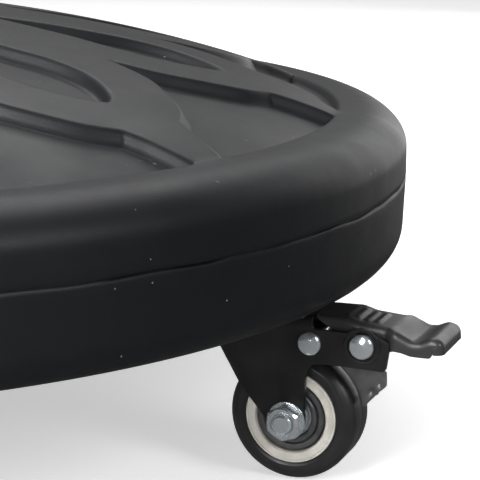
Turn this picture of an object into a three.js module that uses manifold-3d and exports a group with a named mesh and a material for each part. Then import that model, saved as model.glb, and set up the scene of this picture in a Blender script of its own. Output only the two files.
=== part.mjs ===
// Round weighted parasol base on four swivel casters: a hollow moulded casing with a petal relief on
// its domed top, a concrete core inside it, a bolted standpipe with a clamp screw, and four casters,
// two of them with a foot brake. Millimetres, +Z up, origin on the pole axis at floor level.
import * as THREE from 'three';
import { mergeVertices } from 'three/addons/utils/BufferGeometryUtils.js';
import Module from 'manifold-3d';

const wasm = await Module();
wasm.setup();

// ---- driving dimensions ----
const GAP = 0.3; // clearance between neighbouring pieces

const BASE_R = 275; // radius at the parting line
const BASE_Z = 73.5; // underside above the floor
const RIM_Z = 132; // top of the rim
const PART_Z = 106.7; // parting line of the casing
const DRAFT_LOW = 0.031;
const DRAFT_HIGH = 0.015;
const FOOT_ROUND = 13;
const ROLL_R = 20.4; // radial size of the rim's rolled edge
const ROLL_Z = 14.5; // its height
const FIELD_R = 246; // inner edge of the rim
const DOME_H = 41;
const DOME_POWER = 0.89;
const PAD_R = 74; // flat pad under the standpipe flange
const RELIEF = 5; // depth of the recesses
const SKIN = 4; // casing wall
const PETALS = 12;
const PETAL_AZ = -22.8; // azimuth of the first petal, degrees
const ROUND_STEPS = 48;

const FILL_X = 120; // filling hole in the underside
const FILL_R = 20;

const FLANGE_R = 70;
const FLANGE_T = 6;
const FLANGE_BOLT_R = 54;
const PIPE_R = 30;
const PIPE_BORE = 27.5;
const PIPE_TOP = 500;
const CLAMP_Z = 452;
const SCREW_R = 4.9;

const CASTER_R = 226.5; // swivel axis from the pole axis
const CASTER_AZ = -36; // azimuth of the first caster, degrees
const TRAIL = 20; // wheel axle behind the swivel axis
const AXLE_Z = 25;
const WHEEL_R = 25;
const WHEEL_HALF = 11.2;
const LEG_IN = 12.9; // inner face of a fork leg from the wheel's mid-plane
const LEG_T = 2.2;
const CROWN_Z = 63.6;
const CROWN_T = 2.6;
const CROWN_R = 19.5;
const STEM_R = 6;
const PIVOT_SHOE = [28.3, 56]; // along the caster, above the floor
const PIVOT_PEDAL = [48.5, 57];
const PIVOT_R = 2.4;

// ---- helpers ----
function toSolid(geometry) {
  const bare = geometry.clone();
  bare.deleteAttribute('normal');
  bare.deleteAttribute('uv');
  const merged = mergeVertices(bare, 1e-3);
  const index = merged.index.array;
  const kept = [];
  for (let i = 0; i < index.length; i += 3) {
    const [a, b, c] = [index[i], index[i + 1], index[i + 2]];
    if (a !== b && b !== c && a !== c) {
      kept.push(a, b, c);
    }
  }
  const position = merged.attributes.position.array;
  if (signedVolume(position, kept) < 0) {
    for (let i = 0; i < kept.length; i += 3) {
      [kept[i + 1], kept[i + 2]] = [kept[i + 2], kept[i + 1]];
    }
  }
  const mesh = new wasm.Mesh({
    numProp: 3,
    vertProperties: new Float32Array(position),
    triVerts: new Uint32Array(kept),
  });
  return new wasm.Manifold(mesh);
}

function signedVolume(p, index) {
  let sum = 0;
  for (let i = 0; i < index.length; i += 3) {
    const [a, b, c] = [index[i] * 3, index[i + 1] * 3, index[i + 2] * 3];
    sum += p[a] * (p[b + 1] * p[c + 2] - p[b + 2] * p[c + 1]);
    sum += p[a + 1] * (p[b + 2] * p[c] - p[b] * p[c + 2]);
    sum += p[a + 2] * (p[b] * p[c + 1] - p[b + 1] * p[c]);
  }
  return sum / 6;
}

function toGeometry(solid) {
  const mesh = solid.getMesh();
  const geometry = new THREE.BufferGeometry();
  geometry.setAttribute('position', new THREE.BufferAttribute(new Float32Array(mesh.vertProperties), 3));
  geometry.setIndex(new THREE.BufferAttribute(new Uint32Array(mesh.triVerts), 1));
  geometry.computeVertexNormals();
  return geometry;
}

const radians = (degrees) => (degrees * Math.PI) / 180;

// A solid of revolution about Z from [radius, z] points that start and end on the axis.
function turned(points, steps) {
  const profile = points.map(([r, z]) => new THREE.Vector2(r, z));
  return toSolid(new THREE.LatheGeometry(profile, steps).rotateX(Math.PI / 2));
}

// A ring about Z whose [radius, z] points form a closed loop.
function ring(points, steps) {
  return turned([...points, points[0]], steps);
}

function tube(inner, outer, z0, z1, steps) {
  return ring([[inner, z0], [outer, z0], [outer, z1], [inner, z1]], steps);
}

function rod(radius, z0, z1, steps) {
  return turned([[0, z0], [radius, z0], [radius, z1], [0, z1]], steps);
}

// An upright prism over an outline in X, Y.
function prism(outline, z0, z1) {
  const shape = new THREE.Shape(outline.map(([x, y]) => new THREE.Vector2(x, y)));
  const geometry = new THREE.ExtrudeGeometry(shape, { depth: z1 - z0, bevelEnabled: false });
  return toSolid(geometry.translate(0, 0, z0));
}

// A plate whose outline is drawn in X, Z and which is thick along Y.
function plate(outline, y0, y1) {
  const shape = new THREE.Shape(outline.map(([x, z]) => new THREE.Vector2(x, z)));
  const geometry = new THREE.ExtrudeGeometry(shape, { depth: y1 - y0, bevelEnabled: false });
  return toSolid(geometry.rotateX(Math.PI / 2).translate(0, y1, 0));
}

function arc(cx, cy, r, from, to, steps) {
  const points = [];
  for (let i = 0; i <= steps; i += 1) {
    const a = radians(from + ((to - from) * i) / steps);
    points.push([cx + r * Math.cos(a), cy + r * Math.sin(a)]);
  }
  return points;
}

// Lays a solid made about Z across the caster, its +Z end towards -Y.
function sideways(solid, x, z) {
  return solid.rotate([90, 0, 0]).translate([x, 0, z]);
}

const group = new THREE.Group();
group.name = 'parasol_base';

function add(name, solid, material, parent = group) {
  const mesh = new THREE.Mesh(toGeometry(solid), new THREE.MeshStandardMaterial(material));
  mesh.name = name;
  parent.add(mesh);
  return mesh;
}

// ---- finishes ----
const CASING = { color: 0x1d1e20, roughness: 0.55, metalness: 0 };
const CONCRETE = { color: 0x8d8a84, roughness: 0.95, metalness: 0 };
const PLASTIC = { color: 0x151517, roughness: 0.45, metalness: 0 };
const BLACK_STEEL = { color: 0x131314, roughness: 0.35, metalness: 0.4 };
const ZINC = { color: 0xb9bfc4, roughness: 0.28, metalness: 1 };
const TYRE = { color: 0x111113, roughness: 0.5, metalness: 0 };
const RIM_WHITE = { color: 0xd8d4c8, roughness: 0.5, metalness: 0 };
const HUB_GREY = { color: 0x3b3c3f, roughness: 0.4, metalness: 0.5 };

// ---- weighted base ----
function domeZ(r) {
  return RIM_Z + DOME_H * (1 - (r / FIELD_R) ** 2) ** DOME_POWER;
}

const PAD_Z = domeZ(PAD_R);

function domeProfile(drop, radii) {
  return radii.map((r) => [r, domeZ(r) - drop]);
}

function casingOutline() {
  const lowR = BASE_R - DRAFT_LOW * (PART_Z - BASE_Z - FOOT_ROUND);
  const highR = BASE_R - DRAFT_HIGH * (RIM_Z - ROLL_Z - PART_Z);
  const foot = arc(lowR - FOOT_ROUND, BASE_Z + FOOT_ROUND, FOOT_ROUND, -90, 0, 3);
  const roll = [];
  for (let i = 0; i <= 4; i += 1) {
    const a = radians((90 * i) / 4);
    roll.push([highR - ROLL_R + ROLL_R * Math.cos(a), RIM_Z - ROLL_Z + ROLL_Z * Math.sin(a)]);
  }
  const dome = domeProfile(0, [FIELD_R, 205, 145, PAD_R]);
  return [[0, BASE_Z], ...foot, [BASE_R, PART_Z], ...roll, ...dome, [0, PAD_Z]];
}

function fillOutline(gap) {
  const low = BASE_Z + SKIN + gap;
  const side = BASE_R - SKIN - 2 - gap;
  const drop = RELIEF + SKIN + gap;
  const shoulder = [[side, low + 10], [side, RIM_Z - 18 - gap], [side - 14, RIM_Z - 6 - gap]];
  const dome = domeProfile(drop, [FIELD_R - 8, 195, 135, PAD_R]);
  return [[0, low], [side - 10, low], ...shoulder, ...dome, [0, PAD_Z - drop]];
}

// Outline of one recess between two arms, next to the rim; symmetric about the X axis.
// [radius, half angle in degrees] from the pole axis.
const PANEL = [[169, 0], [190, 2.6], [209.5, 7], [221.5, 11.1], [247, 13.2]];

function panelOutline() {
  const lower = PANEL.map(([r, a]) => [r * Math.cos(radians(a)), -r * Math.sin(radians(a))]);
  const upper = lower.slice(1).map(([x, y]) => [x, -y]).reverse();
  const rim = arc(0, 0, 247.2, -6, 6, 1);
  return [...lower, ...rim, ...upper];
}

// Outline of one petal-shaped recess; symmetric about the X axis. [along, half width]
const PETAL = [[100, 0], [130, 11.5], [158, 17.8], [180, 15.6], [195, 8]];

function petalOutline() {
  const lower = PETAL.map(([x, y]) => [x, -y]);
  return [...lower, [200.6, 0], ...PETAL.slice(1).reverse()];
}

function reliefCutters() {
  const floor = turned([
    [0, BASE_Z + 20],
    [FIELD_R + 6, BASE_Z + 20],
    [FIELD_R + 6, RIM_Z - RELIEF],
    ...domeProfile(RELIEF, [FIELD_R - 3, 205, 145, 95]),
    [0, domeZ(95) - RELIEF],
  ], ROUND_STEPS);
  const cutters = [];
  for (let i = 0; i < PETALS; i += 1) {
    const turn = PETAL_AZ + (360 / PETALS) * i;
    cutters.push(prism(petalOutline(), RIM_Z - 20, RIM_Z + 60).rotate([0, 0, turn]));
    const between = turn + 180 / PETALS;
    cutters.push(prism(panelOutline(), RIM_Z - 20, RIM_Z + 60).rotate([0, 0, between]));
  }
  return wasm.Manifold.union(cutters).subtract(floor);
}

function ringOf(count, radius, azimuth, make) {
  const made = [];
  for (let i = 0; i < count; i += 1) {
    const a = radians(azimuth + (360 / count) * i);
    made.push(make().translate([radius * Math.cos(a), radius * Math.sin(a), 0]));
  }
  return made;
}

function buildBase() {
  const stemHoles = ringOf(4, CASTER_R, CASTER_AZ, () => rod(STEM_R + 0.8, BASE_Z - 5, BASE_Z + 27, 12));
  const boltHoles = ringOf(4, FLANGE_BOLT_R, 45, () => rod(4.8, PAD_Z - 36, PAD_Z + 5, 10));
  const fillHole = rod(FILL_R, BASE_Z - 5, BASE_Z + SKIN + 1, 24).translate([FILL_X, 0, 0]);
  const cavity = turned(fillOutline(0), 36);
  const casing = turned(casingOutline(), ROUND_STEPS)
    .subtract(cavity)
    .subtract(reliefCutters())
    .subtract(wasm.Manifold.union([...stemHoles, ...boltHoles, fillHole]));
  add('casing', casing, CASING);
  const coreHoles = wasm.Manifold.union([...stemHoles, ...boltHoles]);
  const core = turned(fillOutline(GAP * 2), 36).subtract(coreHoles);
  add('concrete_core', core, CONCRETE);
  const plugLow = BASE_Z - GAP;
  const plug = turned([
    [0, plugLow - 2.4], [24, plugLow - 2.4], [25, plugLow - 1.2], [25, plugLow],
    [FILL_R - GAP, plugLow], [FILL_R - GAP, BASE_Z + SKIN - 0.4], [0, BASE_Z + SKIN - 0.4],
  ], 20).translate([FILL_X, 0, 0]);
  add('fill_plug', plug, PLASTIC);
}

// ---- standpipe ----
function hexBolt(shank, head, headT, length, steps) {
  const cap = turned([[0, 0], [head, 0], [head, headT * 0.75], [head * 0.86, headT], [0, headT]], 6);
  return cap.add(rod(shank, -length, 0.5, steps));
}

function buildStandpipe() {
  const z0 = PAD_Z + GAP;
  const holes = ringOf(4, FLANGE_BOLT_R, 45, () => rod(4.8, z0 - 1, z0 + 10, 10));
  const flange = ring([
    [PIPE_R + GAP, z0], [FLANGE_R, z0], [FLANGE_R, z0 + FLANGE_T - 1],
    [FLANGE_R - 1, z0 + FLANGE_T], [PIPE_R + GAP, z0 + FLANGE_T],
  ], 32).subtract(wasm.Manifold.union(holes));
  add('base_flange', flange, BLACK_STEEL);
  ringOf(4, FLANGE_BOLT_R, 45, () => hexBolt(4.2, 7.5, 5.3, 34, 10)).forEach((bolt, i) => {
    add(`flange_bolt_${i + 1}`, bolt.translate([0, 0, z0 + FLANGE_T + GAP]), ZINC);
  });
  const clampHole = rod(SCREW_R + 0.5, 20, 40, 24).rotate([0, 90, 0]).translate([0, 0, CLAMP_Z]);
  add('standpipe', tube(PIPE_BORE, PIPE_R, z0, PIPE_TOP, 32).subtract(clampHole), BLACK_STEEL);
  const lip = PIPE_TOP + GAP;
  const sleeve = ring([
    [24.6, PIPE_TOP - 22], [PIPE_BORE - 0.5, PIPE_TOP - 22], [PIPE_BORE - 0.5, lip],
    [PIPE_R + 2.5, lip], [PIPE_R + 2.5, lip + 3], [PIPE_R + 1, lip + 4.5], [24.6, lip + 4.5],
  ], 32);
  add('reducer_sleeve', sleeve, PLASTIC);
}

// Pieces of the clamp are drawn about Z with the pipe's axis at Z = 0, then laid along +X.
function alongX(solid) {
  return solid.rotate([0, 90, 0]).translate([0, 0, CLAMP_Z]);
}

function knobOutline() {
  const points = [];
  for (let i = 0; i < 36; i += 1) {
    const a = (i / 36) * 2 * Math.PI;
    const r = 20.5 + 1.8 * Math.cos(6 * a);
    points.push([r * Math.cos(a), r * Math.sin(a)]);
  }
  return points;
}

function buildClamp() {
  const boss = tube(SCREW_R + 0.3, 9.5, PIPE_R - 1, 43, 24)
    .subtract(rod(PIPE_R + GAP, -30, 30, 32).rotate([0, -90, 0]));
  add('clamp_boss', alongX(boss), BLACK_STEEL);
  add('clamp_pad', alongX(rod(4.6, PIPE_BORE + 0.4, 29.4, 16)), ZINC);
  add('clamp_screw', alongX(rod(SCREW_R, 29.8, 61, 24)), ZINC);
  const knob = prism(knobOutline(), 52, 68)
    .add(rod(11, 49.8, 53, 24))
    .subtract(rod(SCREW_R + GAP, 40, 61 + GAP, 24));
  add('clamp_knob', alongX(knob), PLASTIC);
}

// ---- casters ----
// Each is drawn with its swivel axis on Z at the origin and its wheel trailing along +X.
function legOutline(braked) {
  const boss = arc(TRAIL, AXLE_Z, 6.6, 215, 360, 5);
  const front = [[-17.5, CROWN_Z + 1], [-12.3, 58], [-8.4, 52.2], [0.8, 36.8]];
  const brakeArm = [
    [26.8, 42.5], [27.8, 46.2], [30.2, 48], [33, 48.4], [56.4, 48.3], [57.8, 49.8], [59, 59.4],
    [54.3, 61.4], [40, 61.3], [22, 61.8], [17.5, CROWN_Z + 1],
  ];
  const plainArm = [[26.6, 32], [24.5, 46], [19.5, 60], [17.5, CROWN_Z + 1]];
  return [...front, ...boss, ...(braked ? brakeArm : plainArm)];
}

function pivotHole(x, z) {
  return sideways(rod(PIVOT_R + 0.4, -20, 20, 10), x, z);
}

function buildFork(braked) {
  const crown = rod(CROWN_R, CROWN_Z, CROWN_Z + CROWN_T, 24);
  let fork = crown;
  for (const side of [-1, 1]) {
    const inner = side * LEG_IN;
    const outer = side * (LEG_IN + LEG_T);
    const leg = plate(legOutline(braked), Math.min(inner, outer), Math.max(inner, outer));
    fork = fork.add(leg);
  }
  const stemHole = rod(STEM_R + 0.4, CROWN_Z - 2, CROWN_Z + 6, 16);
  const cuts = [stemHole, sideways(rod(4.3, -20, 20, 12), TRAIL, AXLE_Z)];
  if (braked) {
    cuts.push(...[PIVOT_SHOE, PIVOT_PEDAL].map(([x, z]) => pivotHole(x, z)));
  }
  return fork.subtract(wasm.Manifold.union(cuts));
}

function buildStem() {
  return turned([
    [0, CROWN_Z - 5], [8, CROWN_Z - 5], [9.2, CROWN_Z - 3.8], [9.2, CROWN_Z - GAP],
    [STEM_R, CROWN_Z - GAP], [STEM_R, BASE_Z + 25], [0, BASE_Z + 25],
  ], 16);
}

function buildRace() {
  const low = CROWN_Z + CROWN_T + GAP;
  const high = BASE_Z - GAP;
  const bore = STEM_R + GAP;
  return ring([
    [bore, low], [17.5, low], [20.5, low + 3], [20.5, high], [bore, high],
  ], 20);
}

function buildTyre() {
  const w = WHEEL_HALF;
  const r = WHEEL_R;
  const side = [[r, w - 5.4], [r - 1.6, w - 2], [20.8, w], [18.2, w]];
  const mirrored = side.map(([radius, z]) => [radius, -z]).reverse();
  return sideways(ring([...mirrored, ...side], 24), TRAIL, AXLE_Z);
}

function buildCore() {
  const w = WHEEL_HALF + 0.2;
  return sideways(ring([
    [13.8, -w], [17.3, -w], [17.9, -w + 0.6], [17.9, w - 0.6], [17.3, w], [13.8, w],
  ], 20), TRAIL, AXLE_Z);
}

function buildBearing() {
  const w = WHEEL_HALF;
  return sideways(ring([
    [4.4, -w - 0.6], [7.4, -w - 0.6], [7.4, -w + 1.2], [13.4, -w + 1.2],
    [13.4, w - 1.2], [7.4, w - 1.2], [7.4, w + 0.6], [4.4, w + 0.6],
  ], 16), TRAIL, AXLE_Z);
}

function buildAxleBolt() {
  const face = LEG_IN + LEG_T + GAP;
  const head = turned([[0, -face - 5], [5.6, -face - 5], [6.4, -face - 4], [6.4, -face], [0, -face]], 6);
  return sideways(head.add(rod(4, -face - 0.5, face + 7, 12)), TRAIL, AXLE_Z);
}

function buildAxleNut() {
  const face = LEG_IN + LEG_T + GAP;
  const body = turned([[0, face], [6.6, face], [7.4, face + 0.8], [7.4, face + 4.6], [6.6, face + 5.4],
    [0, face + 5.4]], 6).add(rod(8, face, face + 1, 16));
  return sideways(body.subtract(rod(4.3, face - 1, face + 8, 12)), TRAIL, AXLE_Z);
}

function buildRivet([x, z], headR) {
  const face = LEG_IN + LEG_T + GAP;
  const dome = [[headR, face], [headR * 0.9, face + 1.2], [headR * 0.6, face + 2.3], [0, face + 2.8]];
  const tail = [[0, -face - 2.2], [headR * 0.7, -face - 1.6], [headR * 0.9, -face]];
  return sideways(turned([...tail, [PIVOT_R, -face], [PIVOT_R, face], ...dome], 10), x, z);
}

function offsetPath(path, half) {
  const upper = [];
  const lower = [];
  path.forEach(([x, z], i) => {
    const [ax, az] = path[Math.max(i - 1, 0)];
    const [bx, bz] = path[Math.min(i + 1, path.length - 1)];
    const length = Math.hypot(bx - ax, bz - az);
    const [nx, nz] = [-(bz - az) / length, (bx - ax) / length];
    upper.push([x + nx * half, z + nz * half]);
    lower.push([x - nx * half, z - nz * half]);
  });
  return [...lower, ...upper.reverse()];
}

function buildPedal() {
  const path = [
    [29, 65.4], [41.5, 65.6], [46.7, 64.1], [59.5, 62.8], [66.7, 59.6], [70.2, 60.2], [73.8, 61.7],
    [76.4, 61.4], [78.1, 59.6], [78.3, 56.8],
  ];
  const tread = plate(offsetPath([[60.2, 62.6], ...path.slice(4)], 0.85), -14.5, 14.5);
  const tongue = plate(offsetPath(path.slice(0, 5), 0.85), -12.3, 12.3);
  const cheek = [
    [37.5, 60.5], [42, 54.4], [48, 51.9], [54, 52.8], [60.2, 56.2], [61.4, 61.6], [51.5, 63.2],
    [46, 63.8], [41, 65], [35, 65],
  ];
  const skirt = [
    [60.2, 56.4], [66.5, 55.3], [75, 55.3], [77.2, 57], [77.4, 59.4], [76, 61], [73.8, 61.3],
    [70.2, 59.8], [66.7, 59.2], [60.2, 62.2],
  ];
  let pedal = tread.add(tongue);
  for (const side of [-1, 1]) {
    pedal = pedal.add(plate(cheek, side * 11.5 - 0.8, side * 11.5 + 0.8));
    pedal = pedal.add(plate(skirt, side * 13.7 - 0.8, side * 13.7 + 0.8));
  }
  const [px, pz] = PIVOT_PEDAL;
  return pedal.subtract(pivotHole(px, pz));
}

function buildShoe() {
  const [x, z] = PIVOT_SHOE;
  const sole = arc(TRAIL, AXLE_Z, 27.6, 70, 14, 8);
  const outer = [
    [50.6, 35.4], [53, 37.2], [55.6, 39.6], [56.6, 41.4], [56.6, 47.2], [50, 48.8], [43.4, 49.4], [36, 53],
  ];
  const ear = [[x + 3.6, z + 0.6], [x + 1.4, z + 3.4], [x - 2, z + 3.2], [x - 3.6, z], [x - 2.6, z - 2.4]];
  const shoe = plate([...outer, ...ear, ...sole], -9, 9);
  return shoe.subtract(pivotHole(x, z));
}

function buildSpring() {
  const [x, z] = PIVOT_PEDAL;
  const coils = [];
  for (let i = 0; i <= 6; i += 1) {
    coils.push([i % 2 ? 3.8 : 4.6, i * 2 - 6]);
  }
  return sideways(ring([[PIVOT_R + GAP, -6], ...coils, [PIVOT_R + GAP, 6]], 10), x, z);
}

function buildCaster(index, braked) {
  const name = (piece) => `caster_${index}_${piece}`;
  const frame = new THREE.Group();
  const azimuth = CASTER_AZ + 90 * (index - 1);
  const a = radians(azimuth);
  frame.position.set(CASTER_R * Math.cos(a), CASTER_R * Math.sin(a), 0);
  frame.rotation.z = a;
  group.add(frame);
  add(name('stem'), buildStem(), ZINC, frame);
  add(name('race'), buildRace(), BLACK_STEEL, frame);
  add(name('fork'), buildFork(braked), BLACK_STEEL, frame);
  add(name('tyre'), buildTyre(), TYRE, frame);
  add(name('wheel_core'), buildCore(), RIM_WHITE, frame);
  add(name('bearing'), buildBearing(), HUB_GREY, frame);
  add(name('axle_bolt'), buildAxleBolt(), ZINC, frame);
  add(name('axle_nut'), buildAxleNut(), ZINC, frame);
  if (braked) {
    add(name('rivet_shoe'), buildRivet(PIVOT_SHOE, 4.4), ZINC, frame);
    add(name('rivet_pedal'), buildRivet(PIVOT_PEDAL, 4.6), ZINC, frame);
    add(name('pedal'), buildPedal(), BLACK_STEEL, frame);
    add(name('shoe'), buildShoe(), HUB_GREY, frame);
    add(name('spring'), buildSpring(), ZINC, frame);
  }
}

buildBase();
buildStandpipe();
buildClamp();
for (let i = 1; i <= 4; i += 1) {
  buildCaster(i, i % 2 === 1);
}

export default group;
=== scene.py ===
"""Round parasol base on casters: the looks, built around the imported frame.

Lengths in this script are millimetres in the row frame (+Z up, origin on the pole axis at floor
level) until a mesh is made, where they become metres.
"""

import math

import bmesh
import bpy
import numpy as np
from mathutils import Matrix, Vector
from mathutils.geometry import delaunay_2d_cdt


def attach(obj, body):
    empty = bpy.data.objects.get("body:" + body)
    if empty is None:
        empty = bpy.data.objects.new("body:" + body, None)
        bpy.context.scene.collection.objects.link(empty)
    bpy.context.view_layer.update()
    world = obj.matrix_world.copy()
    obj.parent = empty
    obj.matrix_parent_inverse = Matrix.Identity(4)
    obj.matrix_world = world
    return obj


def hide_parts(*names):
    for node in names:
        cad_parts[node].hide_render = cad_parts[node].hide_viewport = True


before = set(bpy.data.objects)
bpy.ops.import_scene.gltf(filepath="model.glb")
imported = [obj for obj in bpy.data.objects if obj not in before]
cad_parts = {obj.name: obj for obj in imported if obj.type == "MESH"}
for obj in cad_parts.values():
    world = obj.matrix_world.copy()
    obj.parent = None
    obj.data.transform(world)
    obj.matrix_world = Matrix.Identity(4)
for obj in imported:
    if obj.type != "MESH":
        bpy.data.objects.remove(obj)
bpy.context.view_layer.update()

MM = 0.001

# ---- sizes shared with the CAD frame ----
BASE_R = 275.0
BASE_Z = 73.5
RIM_Z = 132.0
PART_Z = 106.7
DRAFT_LOW, DRAFT_HIGH = 0.031, 0.015
FOOT_ROUND = 13.0
ROLL_R, ROLL_Z = 20.4, 14.5
FIELD_R = 246.0
DOME_H, DOME_POWER = 41.0, 0.89
PAD_R = 74.0
RELIEF = 5.0
PETALS = 12
PETAL_AZ = -22.8
FILL_X, FILL_R, FILL_DEPTH = 120.0, 20.0, 5.0
STEM_DEPTH = 25.0
FLANGE_R, FLANGE_T, FLANGE_BOLT_R = 70.0, 6.0, 54.0
PIPE_R, PIPE_BORE, PIPE_TOP = 30.0, 27.5, 500.0
CLAMP_Z = 452.0
CASTER_R, CASTER_AZ = 226.5, -36.0
TRAIL, AXLE_Z, WHEEL_R, WHEEL_HALF = 20.0, 25.0, 25.0, 11.2
LEG_MID, SHEET = 14.0, 2.2
CROWN_MID = 64.9
STEM_R = 6.0
PIVOT_SHOE = (28.3, 56.0)
PIVOT_PEDAL = (48.5, 57.0)


# ---- materials ----
class Nodes:
    """A material's node tree with short calls for the nodes used here."""

    def __init__(self, name):
        self.material = bpy.data.materials.new(name)
        self.material.use_nodes = True
        self.tree = self.material.node_tree
        self.shader = self.tree.nodes["Principled BSDF"]
        self.coords = self.tree.nodes.new("ShaderNodeTexCoord").outputs["Object"]

    def link(self, source, target):
        self.tree.links.new(source, target)

    def noise(self, scale, detail=4.0, roughness=0.55, stretch=None):
        node = self.tree.nodes.new("ShaderNodeTexNoise")
        node.inputs["Scale"].default_value = scale
        node.inputs["Detail"].default_value = detail
        node.inputs["Roughness"].default_value = roughness
        coords = self.coords
        if stretch:
            mapping = self.tree.nodes.new("ShaderNodeMapping")
            mapping.inputs["Scale"].default_value = stretch
            self.link(self.coords, mapping.inputs["Vector"])
            coords = mapping.outputs["Vector"]
        self.link(coords, node.inputs["Vector"])
        return node.outputs["Fac"]

    def ramp(self, value, stops):
        node = self.tree.nodes.new("ShaderNodeValToRGB")
        points = node.color_ramp.elements
        while len(points) < len(stops):
            points.new(0.5)
        for point, (place, colour) in zip(points, stops):
            point.position = place
            point.color = (*colour, 1.0)
        self.link(value, node.inputs["Fac"])
        return node.outputs["Color"]

    def span(self, value, low, high, start=0.3, end=0.7):
        node = self.tree.nodes.new("ShaderNodeMapRange")
        limits = {"From Min": start, "From Max": end, "To Min": low, "To Max": high}
        for key, number in limits.items():
            node.inputs[key].default_value = number
        self.link(value, node.inputs["Value"])
        return node.outputs["Result"]

    def mix(self, factor, a, b):
        node = self.tree.nodes.new("ShaderNodeMix")
        node.data_type = "RGBA"
        self.link(factor, node.inputs["Factor"])
        for socket, value in ((node.inputs[6], a), (node.inputs[7], b)):
            if isinstance(value, tuple):
                socket.default_value = (*value, 1.0)
            else:
                self.link(value, socket)
        return node.outputs[2]

    def bump(self, height, distance, strength=1.0, below=None):
        node = self.tree.nodes.new("ShaderNodeBump")
        node.inputs["Distance"].default_value = distance
        node.inputs["Strength"].default_value = strength
        self.link(height, node.inputs["Height"])
        if below is not None:
            self.link(below, node.inputs["Normal"])
        return node.outputs["Normal"]

    def finish(self, colour, roughness, normal, **constants):
        self.link(colour, self.shader.inputs["Base Color"])
        self.link(roughness, self.shader.inputs["Roughness"])
        if normal is not None:
            self.link(normal, self.shader.inputs["Normal"])
        for key, value in constants.items():
            self.shader.inputs[key.replace("_", " ")].default_value = value
        return self.material


def casing_plastic():
    """Dull black moulded polyethylene: fine grain, faint cloudy patches and a few pale specks."""
    n = Nodes("casing_plastic")
    dark, light = (0.0028, 0.0033, 0.0044), (0.0048, 0.0054, 0.0068)
    cloud = n.ramp(n.noise(9, 5), [(0.3, dark), (0.7, light)])
    specks = n.span(n.noise(420, 1.0, 0.4), 0.0, 1.0, 0.80, 0.82)
    scuffs = n.span(n.noise(60, 6, 0.7, (1, 1, 3)), 0.0, 0.3, 0.70, 0.78)
    colour = n.mix(specks, n.mix(scuffs, cloud, (0.018, 0.018, 0.019)), (0.10, 0.10, 0.10))
    grain = n.bump(n.noise(1400, 3), 0.00012, 0.5)
    ripple = n.bump(n.noise(55, 3), 0.0004, 0.35, grain)
    return n.finish(colour, n.span(n.noise(30, 5), 0.42, 0.54), ripple, Specular_IOR_Level=0.27)


def black_enamel(name="black_enamel", rough=(0.26, 0.38), colour=(0.006, 0.006, 0.0065)):
    """Powder coat on pressed steel: orange peel and a little dust in random patches."""
    n = Nodes(name)
    dust = tuple(c + 0.008 for c in colour)
    tone = n.ramp(n.noise(70, 4), [(0.35, colour), (0.75, dust)])
    peel = n.bump(n.noise(900, 2), 0.00008, 0.5)
    dents = n.bump(n.noise(120, 2), 0.00025, 0.25, peel)
    return n.finish(tone, n.span(n.noise(90, 4), *rough), dents, Specular_IOR_Level=0.4)


def zinc_plate():
    """Bright zinc with faint draw marks."""
    n = Nodes("zinc_plate")
    tone = n.ramp(n.noise(160, 5), [(0.3, (0.78, 0.83, 0.87)), (0.7, (0.85, 0.90, 0.93))])
    marks = n.bump(n.noise(300, 3, 0.5, (1, 3, 1)), 0.00003, 0.3)
    return n.finish(tone, n.span(n.noise(220, 4), 0.17, 0.25), marks, Metallic=0.87)


def tyre_rubber():
    """Smooth black polyurethane, slightly duller in random patches."""
    n = Nodes("tyre_rubber")
    tone = n.ramp(n.noise(110, 5), [(0.3, (0.010, 0.010, 0.011)), (0.75, (0.020, 0.020, 0.021))])
    fine = n.bump(n.noise(700, 3), 0.00006, 0.5)
    return n.finish(tone, n.span(n.noise(130, 4), 0.30, 0.44), fine, Specular_IOR_Level=0.5)


def wheel_plastic():
    """Off-white nylon with faint grey streaks round the ring."""
    n = Nodes("wheel_plastic")
    tone = n.ramp(n.noise(120, 6), [(0.3, (0.42, 0.40, 0.35)), (0.6, (0.56, 0.54, 0.49))])
    marks = n.span(n.noise(260, 5, 0.65, (1, 0.3, 1)), 0.0, 0.6, 0.6, 0.72)
    colour = n.mix(marks, tone, (0.30, 0.285, 0.25))
    fine = n.bump(n.noise(500, 3), 0.00006, 0.4)
    return n.finish(colour, n.span(n.noise(90, 4), 0.38, 0.52), fine)


def grey_steel():
    """Dull grey plated steel of bearing shields and the brake shoe."""
    n = Nodes("grey_steel")
    tone = n.ramp(n.noise(140, 5), [(0.3, (0.10, 0.10, 0.103)), (0.7, (0.17, 0.17, 0.174))])
    fine = n.bump(n.noise(600, 3), 0.00005, 0.5)
    return n.finish(tone, n.span(n.noise(200, 4), 0.32, 0.46), fine, Metallic=0.7)


def satin_plastic():
    """Satin black moulded plastic of the knob, sleeve and plug."""
    n = Nodes("satin_plastic")
    tone = n.ramp(n.noise(60, 4), [(0.3, (0.014, 0.014, 0.015)), (0.7, (0.022, 0.022, 0.023))])
    fine = n.bump(n.noise(900, 3), 0.0001, 0.5)
    return n.finish(tone, n.span(n.noise(50, 4), 0.34, 0.46), fine)


def cast_concrete():
    """Grey concrete with pores."""
    n = Nodes("cast_concrete")
    tone = n.ramp(n.noise(40, 8, 0.7), [(0.3, (0.30, 0.29, 0.27)), (0.7, (0.48, 0.47, 0.44))])
    pores = n.bump(n.noise(180, 8, 0.7), 0.001, 0.8)
    return n.finish(tone, n.span(n.noise(80, 5), 0.85, 0.98), pores)


FINISH = {
    "casing": casing_plastic(),
    "black_steel": black_enamel(),
    "pedal": black_enamel("pedal_enamel", (0.32, 0.44), (0.02, 0.02, 0.021)),
    "zinc": zinc_plate(),
    "tyre": tyre_rubber(),
    "wheel_white": wheel_plastic(),
    "hub_grey": grey_steel(),
    "black_plastic": satin_plastic(),
    "concrete": cast_concrete(),
}


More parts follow.
